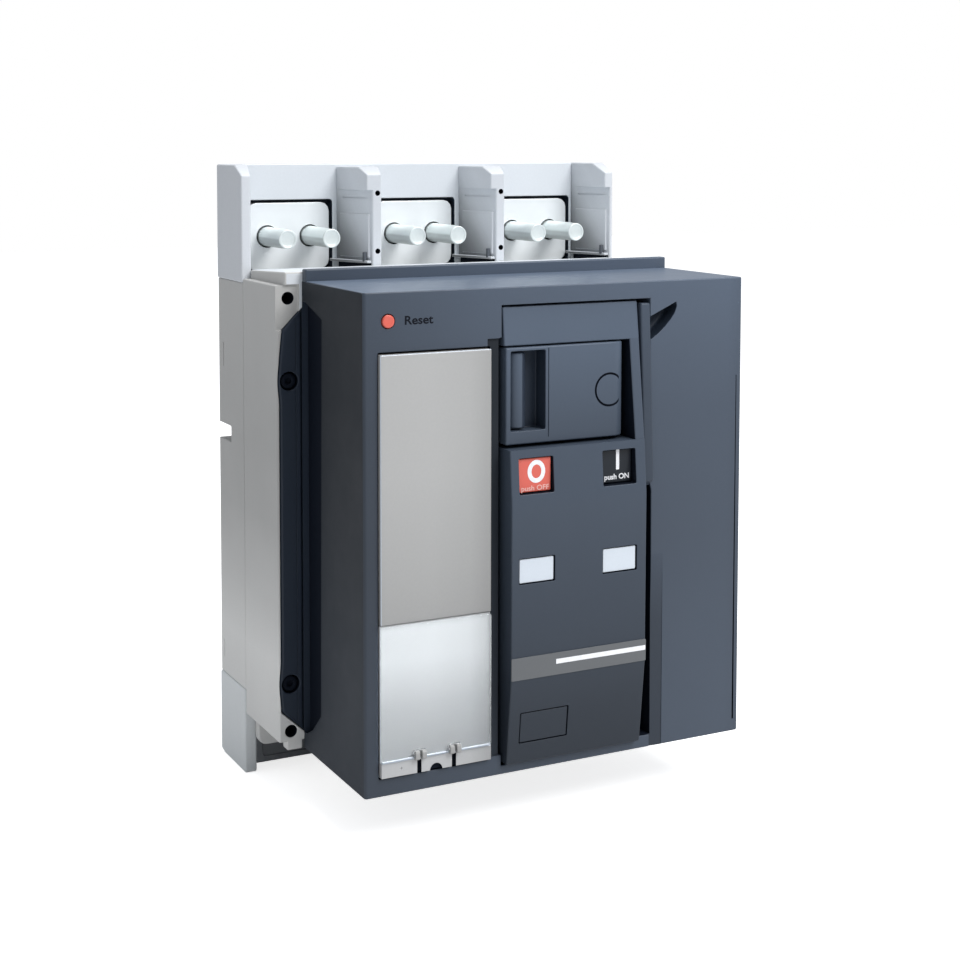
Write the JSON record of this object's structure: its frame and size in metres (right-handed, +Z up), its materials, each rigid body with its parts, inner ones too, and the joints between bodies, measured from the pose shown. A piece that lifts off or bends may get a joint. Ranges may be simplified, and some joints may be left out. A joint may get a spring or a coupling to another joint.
{
  "type": "molded case circuit breaker",
  "caption": "Three-pole moulded case circuit breaker with front terminal studs, a trip unit face and a stored-energy drive with a charging handle and ON and OFF push-buttons.",
  "frame": {"origin": "centre of the four fixing holes, on the flat rear mounting face", "axes": "+X to the right seen from the front, +Y to the rear into the mounting plate, +Z up"},
  "size_m": [0.21, 0.1643, 0.3],
  "materials": {
    "case_grey": "fine satin moulded thermoset, light grey",
    "terminal_grey": "fine satin moulded thermoset, pale grey",
    "terminal_pale": "satin moulded thermoset, very pale grey",
    "tin_plate": "silver plated copper, satin",
    "zinc_steel": "zinc plated steel",
    "cover_dark": "satin moulded plastic, dark blue grey",
    "shadow_dark": "matt moulded plastic, near black",
    "drive_dark": "satin moulded plastic, dark blue grey",
    "panel_grey": "satin moulded plastic, mid grey",
    "panel_pale": "satin moulded plastic, pale grey",
    "clear_plastic": "clear moulded polycarbonate",
    "button_red": "moulded red plastic",
    "button_black": "moulded black plastic",
    "window_white": "white flag behind a clear window",
    "label_grey": "printed grey band"
  },
  "bodies": {
    "breaker": {"rear_base": "case_grey", "mid_case": "case_grey", "upper_back_wall": "terminal_pale", "upper_left_wall": "terminal_grey", "upper_right_wall": "terminal_grey", "upper_left_barrier": "terminal_grey", "upper_right_barrier": "terminal_grey", "lower_back_wall": "terminal_grey", "lower_left_wall": "terminal_grey", "lower_right_wall": "terminal_grey", "lower_left_barrier": "terminal_grey", "lower_right_barrier": "terminal_grey", "upper_left_pad": "tin_plate", "upper_centre_pad": "tin_plate", "upper_right_pad": "tin_plate", "lower_left_pad": "tin_plate", "lower_centre_pad": "tin_plate", "lower_right_pad": "tin_plate", "upper_studs": "zinc_steel", "lower_studs": "zinc_steel", "bay_screws": "zinc_steel", "lower_shield": "cover_dark", "side_flange": "shadow_dark", "flange_screws": "shadow_dark", "front_cover": "cover_dark", "top_band": "cover_dark", "cover_bar": "cover_dark", "trip_unit_base": "panel_pale", "trip_unit_plate": "panel_grey", "trip_unit_strip": "panel_pale", "sealing_lugs": "panel_pale", "drive_frame": "shadow_dark", "drive_fascia": "drive_dark", "handle_pin": "zinc_steel", "left_window": "window_white", "right_window": "window_white", "label_band": "label_grey", "lock_plate": "drive_dark"},
    "handle": {"charging_handle": "drive_dark"},
    "trip_cover": {"clear_cover": "clear_plastic"},
    "off": {"off_button": "button_red"},
    "on": {"on_button": "button_black"},
    "reset": {"reset_button": "button_red"}
  },
  "joints": [
    {"name": "handle_pivot", "type": "hinge", "parent": "breaker", "child": "handle", "pos_m": [0.0323, -0.1507, 0], "axis": [0, 0, 1], "range_deg": [0, 60], "stiffness_Nm_per_rad": 0.5},
    {"name": "trip_cover_hinge", "type": "hinge", "parent": "breaker", "child": "trip_cover", "pos_m": [0, -0.1583, -0.0365], "axis": [-1, 0, 0], "range_deg": [0, 105]},
    {"name": "off_press", "type": "slide", "parent": "breaker", "child": "off", "axis": [0, 1, 0], "range_m": [0, 0.003], "stiffness_N_per_m": 400},
    {"name": "on_press", "type": "slide", "parent": "breaker", "child": "on", "axis": [0, 1, 0], "range_m": [0, 0.003], "stiffness_N_per_m": 400},
    {"name": "reset_press", "type": "slide", "parent": "breaker", "child": "reset", "axis": [0, 1, 0], "range_m": [0, 0.003], "stiffness_N_per_m": 200}
  ]
}
